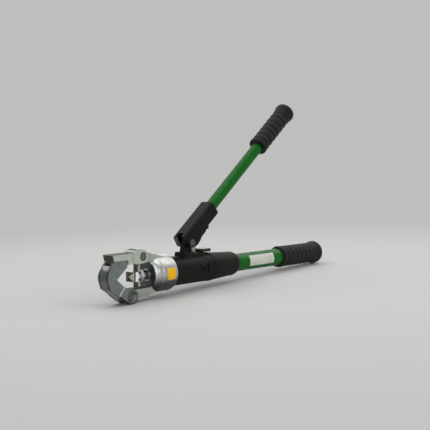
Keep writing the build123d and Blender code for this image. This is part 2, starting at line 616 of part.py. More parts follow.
# Release lever, its pin, the valve stem and its spring
with BuildPart() as release_lever:
    with BuildSketch(Plane.XY.offset(lever_low)):
        with Locations(((release_hinge[0] + lever_end) / 2, 0.0)):
            RectangleRounded(lever_end - release_hinge[0], 2 * lever_half_y, lever_round)
        with Locations((release_hinge[0] + 5.0, 0.0)):
            Rectangle(10.0, 2 * lever_half_y)
    extrude(amount=lever_top - lever_low)
    with BuildSketch(Plane.XZ):
        with Locations(release_hinge):
            Circle(ear_r)
    extrude(amount=lever_half_y, both=True)
    with BuildSketch(Plane.XY.offset(lever_top - 0.8)):
        with Locations(*[(lever_end - 4.0 - 3.0 * i, 0.0) for i in range(4)]):
            Rectangle(1.2, 2 * lever_half_y - 5.0)
    extrude(amount=2.0, mode=Mode.SUBTRACT)
    lever_side = along_y(release_hinge[0], -lever_half_y, release_hinge[1])
    rod(lever_side, release_pin_r + running_gap, 2 * lever_half_y, Mode.SUBTRACT)
pieces["release_lever"] = release_lever.part
with BuildPart() as release_pin:
    rod(along_y(release_hinge[0], -ear_y[1], release_hinge[1]), release_pin_r, 2 * ear_y[1])
pieces["release_pin"] = release_pin.part
with BuildPart() as release_stem:
    rod(upright(stem_x, stem_low), stem_r, stem_top - stem_low)
    chamfer(release_stem.edges(), 0.5)
pieces["release_stem"] = release_stem.part
stem_spring_in, stem_spring_out = 1.4, 2.3
stem_spring_low = stem_bore_low + 0.1
stem_spring_long = stem_low - 0.1 - stem_spring_low
stem_spring = tube(upright(stem_x, stem_spring_low), stem_spring_in, stem_spring_out, stem_spring_long)
pieces["release_spring"] = stem_spring

# Collar and sleeve behind the block, the fixed tube and what it holds
pieces["rear_collar"] = turned(
    [
        (collar_x[0], collar_in),
        (collar_x[0], collar_out - 0.8),
        (collar_x[0] + 0.8, collar_out),
        (collar_x[1] - 0.8, collar_out),
        (collar_x[1], collar_out - 0.8),
        (collar_x[1], collar_in),
    ]
)
with BuildPart() as rear_sleeve:
    with BuildSketch(Plane.XZ):
        with BuildLine():
            Polyline(
                (tube_x[0], collar_in),
                (sleeve_x[0], collar_in),
                (sleeve_x[0], sleeve_front_r),
                (sleeve_turn, sleeve_rear_r),
            )
            ThreePointArc((sleeve_turn, sleeve_rear_r), sleeve_shoulder, (sleeve_x[1], tube_r + 0.9))
            Polyline(
                (sleeve_x[1], tube_r + 0.9),
                (sleeve_x[1], tube_r),
                (tube_x[0], tube_r),
                (tube_x[0], collar_in),
            )
        make_face()
    revolve(axis=Axis.X)
pieces["rear_sleeve"] = rear_sleeve.part
pieces["fixed_tube"] = tube(along_x(tube_x[0]), tube_r - tube_wall, tube_r, tube_x[1] - tube_x[0])
end_plug_long = 12.0
bladder_x, bladder_r, bladder_wall = (217.0, tube_x[1] - end_plug_long - 7.0), 10.8, 1.2
pieces["oil_bladder"] = turned(
    [
        (bladder_x[0], bladder_r - bladder_wall),
        (bladder_x[0], bladder_r),
        (bladder_x[1] - 4.0, bladder_r),
        (bladder_x[1], bladder_r - 4.0),
        (bladder_x[1], 0.0),
        (bladder_x[1] - bladder_wall, 0.0),
        (bladder_x[1] - bladder_wall, bladder_r - 4.4),
        (bladder_x[1] - 4.4, bladder_r - bladder_wall),
    ]
)
with BuildPart() as tube_end_plug:
    rod(along_x(tube_x[1] - end_plug_long), tube_r - tube_wall, end_plug_long)
    rod(along_x(bladder_x[1]), 1.5, 30.0, Mode.SUBTRACT)
pieces["tube_end_plug"] = tube_end_plug.part
with BuildPart() as blank_plate:
    with BuildSketch(Plane.YZ.offset(plate_x[0])):
        Circle(tube_r + plate_thick)
        Circle(tube_r, mode=Mode.SUBTRACT)
        with Locations((-tube_r, (plate_z[0] + plate_z[1]) / 2)):
            Rectangle(2 * tube_r - 1, plate_z[1] - plate_z[0], mode=Mode.INTERSECT)
    extrude(amount=plate_x[1] - plate_x[0])
pieces["blank_plate"] = blank_plate.part


def grip(ends, bore, bore_end, body, flare, grooves, plane=Plane.XZ, axis=Axis.X):
    """A moulded grip: a round flange in front, shallow rings, and a flare with a round end."""
    start, end = ends
    first, pitch, count = grooves
    low = body - groove_depth
    lows = [start + first + pitch * i for i in range(count)]
    crown = lows[-1] + pitch / 2
    rise = (lows[-1] + pitch / 4, body - groove_depth / 4)
    widest = end - grip_round
    with BuildPart() as moulding:
        with BuildSketch(plane):
            with BuildLine():
                Polyline((end, 0.0), (bore_end, 0.0), (bore_end, bore), (start, bore), (start, low))
                ThreePointArc((start, low), (start + first / 2, body + flange_rise), (lows[0], low))
                for a, b in zip(lows, lows[1:]):
                    ThreePointArc((a, low), ((a + b) / 2, body), (b, low))
                ThreePointArc((lows[-1], low), rise, (crown, body))
                Spline((crown, body), (widest, flare), tangents=((1, 0), (1, 0)))
                RadiusArc((widest, flare), (end, flare - grip_round), grip_round)
                Line((end, flare - grip_round), (end, 0.0))
            make_face()
        revolve(axis=axis)
    return moulding.part


pieces["fixed_grip"] = grip(fixed_grip_x, tube_r, tube_x[1], fixed_grip_r, fixed_flare_r, fixed_grooves)

# Moving handle, drawn on a plane that leans with it, with its origin on the pivot
lean = radians(handle_lean)
handle_dir = Vector(cos(lean), 0.0, sin(lean))
handle_up = Vector(-sin(lean), 0.0, cos(lean))
handle_plane = Plane(origin=(pivot[0], 0.0, pivot[1]), x_dir=handle_dir, z_dir=(0, -1, 0))
tube_origin = Vector(pivot[0], 0.0, pivot[1]) + handle_up * tube_line
tube_plane = Plane(origin=tube_origin, x_dir=handle_dir, z_dir=(0, -1, 0))
tube_axis = Axis(tube_origin, handle_dir)
drive_at = (
    drive_reach * cos(lean) + drive_drop * sin(lean),
    drive_drop * cos(lean) - drive_reach * sin(lean),
)
drive_pin_at = (pivot[0] + drive_reach, pivot[1] + drive_drop)
socket_top, socket_low = tube_line + socket_half, tube_line - socket_half
nose_origin = handle_plane.from_local_coords((nose_a, socket_low, 0))
nose_plane = Plane(origin=nose_origin, z_dir=-handle_up)


def on_handle(a):
    """A place on the handle tube's axis, pointing along it."""
    return Plane(origin=tube_origin + handle_dir * a, x_dir=(0, 1, 0), z_dir=handle_dir).location


socket_front = (socket_a[0], socket_top)
with BuildPart() as handle_socket:
    with BuildSketch(handle_plane):
        with BuildLine():
            Polyline(
                socket_front,
                (socket_a[1], socket_top),
                (socket_a[1], socket_low),
                (heel_top, socket_low),
                heel,
                (drive_at[0], drive_at[1] - drive_eye_r),
                touch_two_circles((0.0, 0.0), pivot_eye_r, drive_at, drive_eye_r, -1)[1],
                touch_two_circles((0.0, 0.0), pivot_eye_r, drive_at, drive_eye_r, -1)[0],
                touch_from_point(socket_front, (0.0, 0.0), pivot_eye_r, 1),
                close=True,
            )
        make_face()
        Circle(pivot_eye_r)
        with Locations(drive_at):
            Circle(drive_eye_r)
    extrude(amount=socket_half_y, both=True)
    long_edges = handle_socket.edges().filter_by(Axis((0, 0, 0), handle_dir))
    fillet(long_edges.filter_by(lambda edge: edge.length > 30), radius=socket_round)
    for side in (-1, 1):
        with BuildSketch(handle_plane.offset(side * (heel_half_y + 5.0))):
            with BuildLine():
                Polyline(
                    (-30.0, flank_low),
                    (flank_turn, flank_low),
                    (flank_end, socket_low),
                    (flank_end + 20.0, socket_low),
                    (flank_end + 20.0, -40.0),
                    (-30.0, -40.0),
                    close=True,
                )
            make_face()
        extrude(amount=5.0, both=True, mode=Mode.SUBTRACT)
    with BuildSketch(handle_plane):
        with Locations(((socket_slot_end - 30.0) / 2, socket_ceiling - 20.0)):
            Rectangle(socket_slot_end + 30.0, 40.0)
        with Locations((socket_roof - 15.0, 0.0)):
            Rectangle(30.0, 40.0)
    extrude(amount=socket_slot / 2, both=True, mode=Mode.SUBTRACT)
    rod(on_handle(handle_tube_a[0]), handle_tube_r, socket_a[1], Mode.SUBTRACT)
    pivot_across = along_y(pivot[0], -socket_half_y, pivot[1])
    rod(pivot_across, pivot_pin_r + running_gap, 2 * socket_half_y, Mode.SUBTRACT)
    drive_across = along_y(drive_pin_at[0], -heel_half_y, drive_pin_at[1])
    rod(drive_across, drive_pin_r, 2 * heel_half_y, Mode.SUBTRACT)
    with BuildSketch(handle_plane):
        with Locations((roll_pin_a, tube_line)):
            Circle(roll_pin_r)
    extrude(amount=socket_half_y, both=True, mode=Mode.SUBTRACT)
    with BuildSketch(nose_plane):
        Circle(nose_stud_r)
    extrude(amount=-1.0, mode=Mode.SUBTRACT)
pieces["handle_socket"] = handle_socket.part
with BuildPart() as release_nose:
    with BuildSketch(nose_plane):
        Circle(nose_r)
    extrude(amount=socket_low - nose_low)
    fillet(release_nose.edges().sort_by(Axis(origin=(0, 0, 0), direction=-handle_up))[-1], radius=2.5)
    with BuildSketch(nose_plane):
        Circle(nose_stud_r)
    extrude(amount=-1.0)
pieces["release_nose"] = release_nose.part
with BuildPart() as handle_tube:
    rod(on_handle(handle_tube_a[0]), handle_tube_r, handle_tube_a[1] - handle_tube_a[0])
    rod(on_handle(0.0), handle_tube_r - handle_tube_wall, handle_tube_a[1], Mode.SUBTRACT)
    with BuildSketch(handle_plane):
        with Locations((roll_pin_a, tube_line)):
            Circle(roll_pin_r)
    extrude(amount=socket_half_y, both=True, mode=Mode.SUBTRACT)
pieces["handle_tube"] = handle_tube.part
with BuildPart() as roll_pin:
    with BuildSketch(handle_plane):
        with Locations((roll_pin_a, tube_line)):
            Circle(roll_pin_r)
            Circle(roll_pin_bore, mode=Mode.SUBTRACT)
    extrude(amount=socket_half_y - 0.2, both=True)
pieces["roll_pin"] = roll_pin.part
with BuildPart() as handle_end_plug:
    rod(on_handle(handle_tube_a[1] - 10.0), handle_tube_r - handle_tube_wall, 10.0)
pieces["handle_end_plug"] = handle_end_plug.part
pieces["handle_grip"] = grip(
    handle_grip_a,
    handle_tube_r,
    handle_tube_a[1],
    handle_grip_r,
    handle_flare_r,
    handle_grooves,
    tube_plane,
    tube_axis,
)
with BuildPart() as drive_pin:
    drive_half = heel_half_y - 0.2
    rod(along_y(drive_pin_at[0], -drive_half, drive_pin_at[1]), drive_pin_r, 2 * drive_half)
pieces["drive_pin"] = drive_pin.part

# Pump plunger: a rod with a flat eye, slotted so that the drive pin can swing
slot_rise, slot_half = 0.3, 1.5
eye_half_x, eye_half_z = 6.6, 6.4
plunger_low = -1.0
with BuildPart() as pump_plunger:
    rod(upright(plunger_x, plunger_low), plunger_r, drive_pin_at[1] - eye_half_z + 1.0 - plunger_low)
    chamfer(pump_plunger.edges().group_by(Axis.Z)[0], 0.6)
    with BuildSketch(Plane.XZ):
        with Locations((plunger_x, drive_pin_at[1])):
            RectangleRounded(2 * eye_half_x, 2 * eye_half_z, 5.5)
    extrude(amount=lug_half_y, both=True)
    with BuildSketch(Plane.XZ):
        with Locations((plunger_x, drive_pin_at[1])):
            SlotCenterToCenter(2 * slot_half, 2 * (drive_pin_r + slot_rise))
    extrude(amount=20.0, both=True, mode=Mode.SUBTRACT)
pieces["pump_plunger"] = pump_plunger.part

os.makedirs("parts", exist_ok=True)
for name, piece in pieces.items():
    piece.label = name
    export_step(piece, f"parts/{name}.step")
    print(name, round(piece.volume), "cubic mm")
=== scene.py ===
# %% [markdown]
# # A hydraulic crimping tool, dressed for its portrait
# The solids of the tool come ready made, in metres, with one object for each piece. This lesson
# gives every piece its finish, models the few pieces whose look needs more than a solid, and sets
# up a plain studio. We start by loading the solids and noting the size of the whole tool.

# %% Load the solids
import math

import bmesh
import bpy
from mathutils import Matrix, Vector


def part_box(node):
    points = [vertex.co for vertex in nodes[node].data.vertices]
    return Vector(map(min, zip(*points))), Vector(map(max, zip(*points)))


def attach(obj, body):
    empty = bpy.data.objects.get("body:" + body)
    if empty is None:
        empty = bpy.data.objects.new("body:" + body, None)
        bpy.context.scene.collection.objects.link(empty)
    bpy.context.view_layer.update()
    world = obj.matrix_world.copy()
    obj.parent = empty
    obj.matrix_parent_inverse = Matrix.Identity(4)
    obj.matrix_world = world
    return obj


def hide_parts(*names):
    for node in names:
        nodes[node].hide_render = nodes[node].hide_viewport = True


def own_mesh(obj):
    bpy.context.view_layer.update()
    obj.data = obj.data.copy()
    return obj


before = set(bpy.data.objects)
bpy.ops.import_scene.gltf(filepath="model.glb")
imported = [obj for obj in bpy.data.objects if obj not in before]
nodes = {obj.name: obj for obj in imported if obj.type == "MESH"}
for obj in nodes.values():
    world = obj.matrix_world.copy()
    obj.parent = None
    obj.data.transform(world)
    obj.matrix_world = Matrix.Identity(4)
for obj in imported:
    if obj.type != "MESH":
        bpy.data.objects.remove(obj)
scene = bpy.context.scene
MM = 0.001
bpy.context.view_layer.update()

# %% [markdown]
# ## The camera
# The portrait was taken almost level with the tool, from the front of the head, with a long lens.
# The camera's place is written in metres and its aim is given by two angles, so that the same
# perspective comes back each time.

# %% Place the camera
CAMERA_PLACE = Vector((-0.8064, -0.8493, 0.1536))
CAMERA_TURN = 50.0
CAMERA_DIP = 3.3
LENS_MM, SENSOR_MM = 72.33, 36.0

camera_data = bpy.data.cameras.new("portrait_camera")
camera_data.lens = LENS_MM
camera_data.sensor_width = SENSOR_MM
camera = bpy.data.objects.new("portrait_camera", camera_data)
camera.location = CAMERA_PLACE
camera.rotation_euler = (math.radians(90 - CAMERA_DIP), 0.0, math.radians(-CAMERA_TURN))
scene.collection.objects.link(camera)
scene.camera = camera
scene.view_settings.view_transform = "Standard"
print("camera at", tuple(round(c, 3) for c in camera.location))

# %% [markdown]
# ## Short ways to write nodes
# A material in Blender is a little graph of nodes. Written out call by call, even a simple graph
# fills a page, so a few helpers come first: one adds a node and fills its sockets, whether with a
# number or with a wire from another node, and the others wrap the sums that every finish needs.

# %% Helpers for node graphs
def feed(tree, socket, value):
    """Fill a socket with a value, or join it to another node's output."""
    if isinstance(value, bpy.types.NodeSocket):
        tree.links.new(value, socket)
    else:
        socket.default_value = value


def add(tree, kind, *ordered, **named):
    """Add a node and fill its inputs, by order or by name, with _ for a space."""
    node = tree.nodes.new("ShaderNode" + kind)
    for place, value in enumerate(ordered):
        feed(tree, node.inputs[place], value)
    for name, value in named.items():
        feed(tree, node.inputs[name.replace("_", " ")], value)
    return node


def calc(tree, operation, *values):
    """The result of a sum on one, two or three values."""
    node = add(tree, "Math", *values)
    node.operation = operation
    return node.outputs[0]


def span(tree, value, low, high, new_low=0.0, new_high=1.0):
    """Stretch the range low to high over a new range, and hold it there."""
    return add(tree, "MapRange", value, low, high, new_low, new_high).outputs[0]


def mix(tree, share, first, second):
    """A colour between two, by share."""
    node = tree.nodes.new("ShaderNodeMix")
    node.data_type = "RGBA"
    feed(tree, node.inputs["Factor"], share)
    feed(tree, node.inputs[6], first)
    feed(tree, node.inputs[7], second)
    return node.outputs[2]


def split(tree, vector):
    """The X, Y and Z of a vector."""
    return add(tree, "SeparateXYZ", vector).outputs


print("node helpers ready")

# %% [markdown]
# ## Effects that many finishes share
# Grain, smudges, lathe lines, hairline scratches and worn edges turn up on steel, paint and rubber
# alike. Each is a node group with its sizes in millimetres, so a finish can ask for "grain of
# 0.4 mm" and get a mask or a height back. The pattern is tied to the object's own coordinates, so
# it stays put when a joint moves the piece.

# %% Node groups
def new_group(name, inputs, output):
    """An empty node group with number inputs and one number output."""
    group = bpy.data.node_groups.new(name, "ShaderNodeTree")
    for label, value in inputs.items():
        socket = group.interface.new_socket(label, in_out="INPUT", socket_type="NodeSocketFloat")
        socket.default_value = value
    group.interface.new_socket(output, in_out="OUTPUT", socket_type="NodeSocketFloat")
    return group, group.nodes.new("NodeGroupInput").outputs, group.nodes.new("NodeGroupOutput").inputs


def noise(tree, size, detail):
    """Cloudy noise whose lumps are about size millimetres across."""
    where = add(tree, "TexCoord").outputs["Object"]
    scale = calc(tree, "DIVIDE", 1000.0, size)
    return add(tree, "TexNoise", Vector=where, Scale=scale, Detail=detail).outputs["Fac"]


grain_group, given, result = new_group("grain", {"Size": 0.4}, "Height")
feed(grain_group, result["Height"], noise(grain_group, given["Size"], 3.0))

smudge_group, given, result = new_group("smudges", {"Size": 20.0}, "Mask")
broad = noise(smudge_group, given["Size"], 4.0)
small = noise(smudge_group, calc(smudge_group, "MULTIPLY", given["Size"], 0.23), 3.0)
both = calc(smudge_group, "MULTIPLY_ADD", small, 0.4, calc(smudge_group, "MULTIPLY", broad, 0.6))
feed(smudge_group, result["Mask"], span(smudge_group, both, 0.38, 0.62))
print("node groups:", [g.name for g in bpy.data.node_groups])

# %% [markdown]
# Lines need more than cloudy noise. A lathe leaves rings, so its group takes a distance and repeats
# along it. Hairlines are noise that is stretched far along X and squeezed across. Worn edges could be
# painted by hand, but the Bevel node finds them: where its rounded normal leaves the true one, there
# is an edge, and a patchy mask keeps the wear from looking drawn.

# %% Lines and worn edges
lathe_group, given, result = new_group("lathe_lines", {"Distance": 0.0, "Pitch": 0.5}, "Height")
turns = calc(lathe_group, "DIVIDE", calc(lathe_group, "MULTIPLY", given["Distance"], 1000.0), given["Pitch"])
lines = lathe_group.nodes.new("ShaderNodeTexNoise")
lines.noise_dimensions = "1D"
feed(lathe_group, lines.inputs["W"], turns)
feed(lathe_group, lines.inputs["Scale"], 1.0)
feed(lathe_group, result["Height"], lines.outputs["Fac"])

hairline_group, given, result = new_group("hairlines", {"Length": 12.0, "Width": 0.25}, "Mask")
where = split(hairline_group, add(hairline_group, "TexCoord").outputs["Object"])
along = calc(hairline_group, "DIVIDE", 1000.0, given["Length"])
across = calc(hairline_group, "DIVIDE", 1000.0, given["Width"])
slanted = calc(hairline_group, "MULTIPLY_ADD", where["X"], 0.3, where["Z"])
stretched = add(
    hairline_group, "CombineXYZ",
    calc(hairline_group, "MULTIPLY", where["X"], along),
    calc(hairline_group, "MULTIPLY", where["Y"], across),
    calc(hairline_group, "MULTIPLY", slanted, across),
)
streaks = add(hairline_group, "TexNoise", Vector=stretched.outputs[0], Scale=1.0, Detail=1.0).outputs["Fac"]
feed(hairline_group, result["Mask"], span(hairline_group, streaks, 0.66, 0.74))

wear_group, given, result = new_group("worn_edges", {"Reach": 0.8}, "Mask")
rounded = add(wear_group, "Bevel", calc(wear_group, "MULTIPLY", given["Reach"], MM)).outputs["Normal"]
facing = add(wear_group, "VectorMath", rounded, add(wear_group, "NewGeometry").outputs["Normal"])
facing.operation = "DOT_PRODUCT"
turned_away = span(wear_group, calc(wear_group, "SUBTRACT", 1.0, facing.outputs["Value"]), 0.01, 0.1)
patchy = span(wear_group, noise(wear_group, 3.0, 3.0), 0.35, 0.6)
feed(wear_group, result["Mask"], calc(wear_group, "MULTIPLY", turned_away, patchy))
print("node groups:", [g.name for g in bpy.data.node_groups])

# %% [markdown]
# ## Starting a finish
# Every finish begins the same way: a material with a Principled shader, and the object's own
# coordinates and normal. From these come masks, such as the faces that look one way or the part of
# a piece within some limits. A bump node turns a height into slanted light.

# %% A base for all finishes
class Finish:
    """A new material with its shader and the coordinates that finishes share."""

    def __init__(self, name):
        self.material = bpy.data.materials.new(name)
        self.material.use_nodes = True
        self.tree = self.material.node_tree
        self.shader = self.tree.nodes["Principled BSDF"]
        coordinates = add(self.tree, "TexCoord")
        self.place = split(self.tree, coordinates.outputs["Object"])
        self.normal = coordinates.outputs["Normal"]

    def group(self, group, **inputs):
        """The output of a shared effect."""
        node = self.tree.nodes.new("ShaderNodeGroup")
        node.node_tree = group
        for name, value in inputs.items():
            feed(self.tree, node.inputs[name], value)
        return node.outputs[0]

    def looks(self, direction, least, blur=0.1):
        """A mask of the faces that look towards a direction."""
        toward = add(self.tree, "VectorMath", self.normal, Vector(direction).normalized())
        toward.operation = "DOT_PRODUCT"
        return span(self.tree, toward.outputs["Value"], least - blur / 2, least + blur / 2)

    def flats(self, least):
        """A mask of the flat sides, which look along Y one way or the other."""
        return calc(self.tree, "MAXIMUM", self.looks((0, 1, 0), least), self.looks((0, -1, 0), least))

    def within(self, **limits):
        """A mask of a block of space, its limits in millimetres along X, Y or Z."""
        mask = 1.0
        for axis, (low, high) in limits.items():
            above = calc(self.tree, "GREATER_THAN", self.place[axis], low * MM)
            below = calc(self.tree, "LESS_THAN", self.place[axis], high * MM)
            mask = calc(self.tree, "MULTIPLY", mask, calc(self.tree, "MULTIPLY", above, below))
        return mask

    def from_axis(self, first, second, middle=(0.0, 0.0)):
        """Distance in metres from a line that runs along the third axis."""
        a = calc(self.tree, "SUBTRACT", self.place[first], middle[0])
        b = calc(self.tree, "SUBTRACT", self.place[second], middle[1])
        squares = calc(self.tree, "MULTIPLY_ADD", a, a, calc(self.tree, "MULTIPLY", b, b))
        return calc(self.tree, "SQRT", squares)

    def blend(self, mask, first, second):
        """A number between two, by a mask."""
        node = self.tree.nodes.new("ShaderNodeMix")
        for place, value in zip((0, 2, 3), (mask, first, second)):
            feed(self.tree, node.inputs[place], value)
        return node.outputs[0]

    def set(self, **inputs):
        """Fill sockets of the shader."""
        for name, value in inputs.items():
            feed(self.tree, self.shader.inputs[name.replace("_", " ")], value)

    def over(self, mask, colour):
        """Lay a colour over the base colour, where a mask says so."""
        socket = self.shader.inputs["Base Color"]
        feed(self.tree, socket, mix(self.tree, mask, socket.links[0].from_socket, colour))

    def bump(self, height, depth):
        """Slant the light by a height of depth millimetres."""
        node = add(self.tree, "Bump", Strength=1.0, Distance=depth * MM, Height=height)
        feed(self.tree, self.shader.inputs["Normal"], node.outputs["Normal"])


finishes = {}
print("finish base ready")

# %% [markdown]
# ## The head
# The head is turned on a lathe and left bright, so light runs in fine rings round its axis. The
# wall at the bottom of the throat shows the same rings face on. The throat and its lower faces are
# painted dark as painted shade, and the milled arms are a little duller. The lip of the throat is
# rubbed by the work and is lightened, most on its top, as a painted highlight, and the underside is
# painted darker as painted shade.

# %% Head steel
THROAT_START, THROAT_END, THROAT_RADIUS = 38.0, 57.6, 18.4
THROAT_LOW_FACE, THROAT_LOW_Z = (-0.45, 0.0, 0.89), (-24.0, -8.0)
ARMS_END, ARMS_FULL = 60.0, 50.0
LIP_START, LIP_END = 55.0, 59.6
LIP_FADE_Z, LIP_FADE_RADIUS = (-8.0, 6.0), (22.5, 19.5)


def head_steel():
    """Bright turned steel with painted shade in the throat and underneath, duller arms and a lip with a
    painted highlight.
    """
    made = Finish("head_steel")
    tree = made.tree
    smudges = made.group(smudge_group, Size=14.0)
    hairlines = made.group(hairline_group)
    wear = made.group(wear_group, Reach=0.7)
    radius = made.from_axis("Y", "Z")
    # The throat's back wall and its lower faces that look up are painted dark: painted shade in the recess.
    deep = made.within(X=(THROAT_START, THROAT_END))
    wall = calc(tree, "MULTIPLY", deep, calc(tree, "LESS_THAN", radius, THROAT_RADIUS * MM))
    low = made.within(X=(0.0, THROAT_END), Z=THROAT_LOW_Z)
    low_side = calc(tree, "MULTIPLY", made.looks(THROAT_LOW_FACE, 0.8), low)
    throat_shade = calc(tree, "MAXIMUM", wall, low_side)
    arms = span(tree, made.place["X"], ARMS_END * MM, ARMS_FULL * MM)
    # The faces that look down are painted darker: painted shade on the underside.
    underside_shade = calc(tree, "MULTIPLY", made.looks((0, 0, -1), 0.2, 0.42), 0.9)
    bright = mix(tree, calc(tree, "MULTIPLY", smudges, 0.4), (0.57, 0.59, 0.555, 1), (0.44, 0.46, 0.435, 1))
    milled = mix(tree, arms, bright, (0.42, 0.46, 0.41, 1))
    underside_shaded = mix(tree, underside_shade, milled, (0.040, 0.043, 0.042, 1))
    scratched = mix(tree, calc(tree, "MULTIPLY", hairlines, 0.25), underside_shaded, (0.27, 0.285, 0.27, 1))
    rubbed = mix(tree, wear, scratched, (0.74, 0.76, 0.73, 1))
    # The lip is lightened for rubbing by the work, and the lightening fades out towards the bottom, so on
    # top it is a painted highlight.
    lip_rub_and_highlight = made.within(X=(LIP_START, LIP_END))
    lip_rub_and_highlight = calc(tree, "MULTIPLY", lip_rub_and_highlight, span(tree, made.place["Z"], *(z * MM for z in LIP_FADE_Z)))
    lip_rub_and_highlight = calc(tree, "MULTIPLY", lip_rub_and_highlight, span(tree, radius, *(r * MM for r in LIP_FADE_RADIUS)))
    polished = mix(tree, lip_rub_and_highlight, rubbed, (0.86, 0.88, 0.84, 1))
    made.set(Base_Color=mix(tree, throat_shade, polished, (0.085, 0.096, 0.093, 1)))
    made.set(Metallic=made.blend(calc(tree, "SUBTRACT", lip_rub_and_highlight, throat_shade), 1.0, 0.4))
    steel_gloss = span(tree, smudges, 0, 1, 0.27, 0.38)
    made.set(Roughness=made.blend(low_side, made.blend(wall, steel_gloss, 0.33), 0.65))
    end_on = calc(tree, "MAXIMUM", made.looks((1, 0, 0), 0.6), made.looks((-1, 0, 0), 0.6))
    lathe = made.group(lathe_group, Distance=made.blend(end_on, made.place["X"], radius), Pitch=0.45)
    made.bump(lathe, 0.02)
    finishes["head_steel"] = made


head_steel()
print("head finish:", list(finishes))

# %% [markdown]
# ## The latch
# The latch bar is pale ground steel. Its flat sides are painted lightest and its top darker, as
# painted light and shade, and the end that hooks over the yoke is painted dark as painted shade.

# %% Latch steel
def latch_steel():
    """Ground steel, painted lightest on its flat sides and darker on top, with painted shade on the end
    face.
    """
    made = Finish("latch_steel")
    tree = made.tree
    smudges = made.group(smudge_group, Size=9.0)
    grain = made.group(grain_group, Size=0.35)
    hairlines = made.group(hairline_group, Length=8.0, Width=0.2)
    wear = made.group(wear_group, Reach=0.6)
    # Painted light and shade: the flat sides are painted lighter and the top darker.
    shaded_top_mask = made.looks((0, 0, 1), 0.75)
    # The end face is painted dark: painted shade.
    end_shade_mask = calc(tree, "MULTIPLY", made.looks((-1, 0, 0), 0.6), made.within(X=(-40.0, 2.0)))
    side = mix(tree, calc(tree, "MULTIPLY", smudges, 0.5), (0.66, 0.71, 0.63, 1), (0.56, 0.60, 0.53, 1))
    sides_lit_top_shaded = mix(tree, shaded_top_mask, side, (0.23, 0.245, 0.22, 1))
    scratched = mix(tree, calc(tree, "MULTIPLY", hairlines, 0.3), sides_lit_top_shaded, (0.26, 0.275, 0.25, 1))
    rubbed = mix(tree, wear, scratched, (0.68, 0.70, 0.66, 1))
    end_shade = mix(tree, smudges, (0.105, 0.098, 0.084, 1), (0.075, 0.070, 0.060, 1))
    made.set(Base_Color=mix(tree, calc(tree, "SUBTRACT", end_shade_mask, wear), rubbed, end_shade), Metallic=1.0)
    made.set(Roughness=span(tree, smudges, 0, 1, 0.36, 0.48), Specular_Tint=(0.25, 0.26, 0.235, 1))
    made.bump(grain, 0.012)
    finishes["latch_steel"] = made


latch_steel()
print("with the latch:", list(finishes))

# %% [markdown]
# ## The yoke's finishes
# The yoke is forged and then ground round its rim. Its flat sides keep a dull blasted grey, and
# the rim shines in the middle, with brown forging scale left along both margins. The object's own
# normal tells rim and side apart: where it looks along Y, the face is a flat side. Round the knuckle
# a cutter has left rings about the pin. The step where it stopped, which looks up and forwards, is
# painted bright as a painted highlight. That step sits in a corner with little to mirror, so it is
# mostly not metallic.

# %% Yoke steel
STEP_FACE, ARCH_HALF = (-0.774, 0.0, 0.633), 10.05
RINGS_END, RINGS_FULL = 10.8, 9.6
SCALE_START, SCALE_FULL = 6.4, 7.8


def yoke_steel():
    """Dull flat sides, a polished rim, a painted highlight on the step and cutter rings round the pin."""
    made = Finish("yoke_steel")
    tree = made.tree
    low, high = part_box("yoke_pin")
    from_pin = made.from_axis("X", "Z", ((low.x + high.x) / 2, (low.z + high.z) / 2))
    flat = made.flats(0.85)
    knuckle = calc(tree, "MULTIPLY", flat, span(tree, from_pin, RINGS_END * MM, RINGS_FULL * MM))
    smudges = made.group(smudge_group, Size=11.0)
    grain = made.group(grain_group, Size=0.5)
    mottle = made.group(smudge_group, Size=3.0)
    rings = made.group(lathe_group, Distance=from_pin, Pitch=0.5)
    wear = made.group(wear_group, Reach=0.6)
    dull = mix(tree, smudges, (0.285, 0.318, 0.302, 1), (0.200, 0.224, 0.212, 1))
    turned = mix(tree, mottle, (0.170, 0.182, 0.176, 1), (0.105, 0.112, 0.108, 1))
    cut = mix(tree, knuckle, dull, turned)
    polished = mix(tree, smudges, (0.20, 0.225, 0.23, 1), (0.105, 0.12, 0.122, 1))
    off_middle = calc(tree, "ABSOLUTE", made.place["Y"])
    scale_line = calc(tree, "MULTIPLY_ADD", smudges, 2.0 * MM, off_middle)
    scale = span(tree, scale_line, SCALE_START * MM, SCALE_FULL * MM)
    shine = mix(tree, scale, polished, (0.072, 0.067, 0.057, 1))
    proud = calc(tree, "GREATER_THAN", off_middle, ARCH_HALF * MM)
    # The step face is painted bright: a painted highlight.
    step = calc(tree, "MULTIPLY", made.looks(STEP_FACE, 0.45, 0.04), proud)
    step_highlighted = mix(tree, step, mix(tree, flat, shine, cut), (0.90, 0.91, 0.88, 1))
    made.set(Base_Color=mix(tree, wear, step_highlighted, (0.66, 0.68, 0.66, 1)))
    made.set(Metallic=span(tree, step, 0, 1, 1.0, 0.2))
    rough = span(tree, grain, 0.3, 0.7, 0.40, 0.54)
    made.set(Roughness=made.blend(flat, span(tree, scale, 0, 1, 0.19, 0.36), rough))
    made.bump(made.blend(knuckle, calc(tree, "MULTIPLY", grain, flat), rings), 0.03)
    finishes["yoke_steel"] = made


yoke_steel()
print("with the yoke:", list(finishes))

# %% [markdown]
# ## Pins, ram and other bare metal
# The small machined pieces differ in colour and gloss more than in pattern: pins are ground, the
# ram's crosshead is darker from heat treatment, clips are phosphated, the plunger is polished. Three
# of them get a second colour on some faces: the indenter, brown, with its front painted darker as
# painted shade, a facet painted bright as a painted highlight and the band that its guide rubs; the
# crosshead, ground on its sides; and the release lever, whose top near its end is painted bright as
# a painted highlight.

